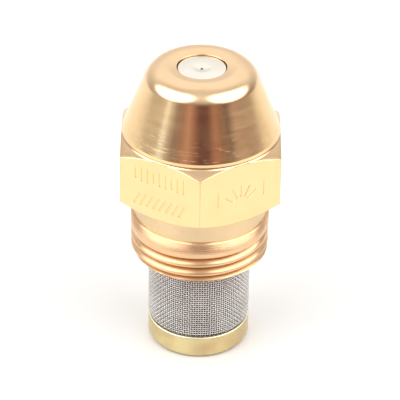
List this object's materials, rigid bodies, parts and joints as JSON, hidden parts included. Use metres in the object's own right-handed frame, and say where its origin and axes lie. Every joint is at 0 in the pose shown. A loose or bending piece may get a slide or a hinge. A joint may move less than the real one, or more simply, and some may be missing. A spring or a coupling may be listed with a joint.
{
  "type": "oil burner nozzle",
  "caption": "Brass oil burner nozzle with a hexagon, outside thread, conical nose with a spray orifice, hollow retaining screw and push-on wire mesh strainer.",
  "frame": {"origin": "middle of the flat bottom of the strainer's cap, which is the lowest face", "axes": "+Z along the nozzle's axis towards the spray orifice, one corner of the hexagon towards -Y, two of its flats facing +X and -X"},
  "size_m": [0.016, 0.0184, 0.032],
  "materials": {
    "polished_brass": "turned and polished on the nose, satin turning lines on the cone, bright flats",
    "turned_brass": "as turned",
    "yellow_brass": "pressed, slightly dull yellow brass with a bright rolled rim",
    "ground_steel": "finely ground stainless steel",
    "wire_steel": "bright stainless wire cloth, plain weave"
  },
  "bodies": {
    "nozzle": {"nozzle_body": "polished_brass", "orifice_disc": "ground_steel"},
    "swirl": {"swirl_cone": "ground_steel"},
    "screw": {"retaining_screw": "turned_brass"},
    "strainer": {"strainer_ferrule": "turned_brass", "strainer_cage": "turned_brass", "strainer_mesh": "wire_steel", "strainer_cap": "yellow_brass"}
  },
  "joints": [
    {"name": "screw_travel", "type": "slide", "parent": "nozzle", "child": "swirl", "axis": [0, 0, -1], "range_m": [0, 0.0045]},
    {"name": "screw_turn", "type": "hinge", "parent": "swirl", "child": "screw", "pos_m": [0, 0, 0.018], "axis": [0, 0, -1], "range_deg": [0, 2160]},
    {"name": "strainer_pull", "type": "slide", "parent": "screw", "child": "strainer", "axis": [0, 0, -1], "range_m": [0, 0.01]}
  ],
  "couplings": [
    {"joint": "screw_turn", "follows": "screw_travel", "rad_per_m": 8377.6}
  ]
}
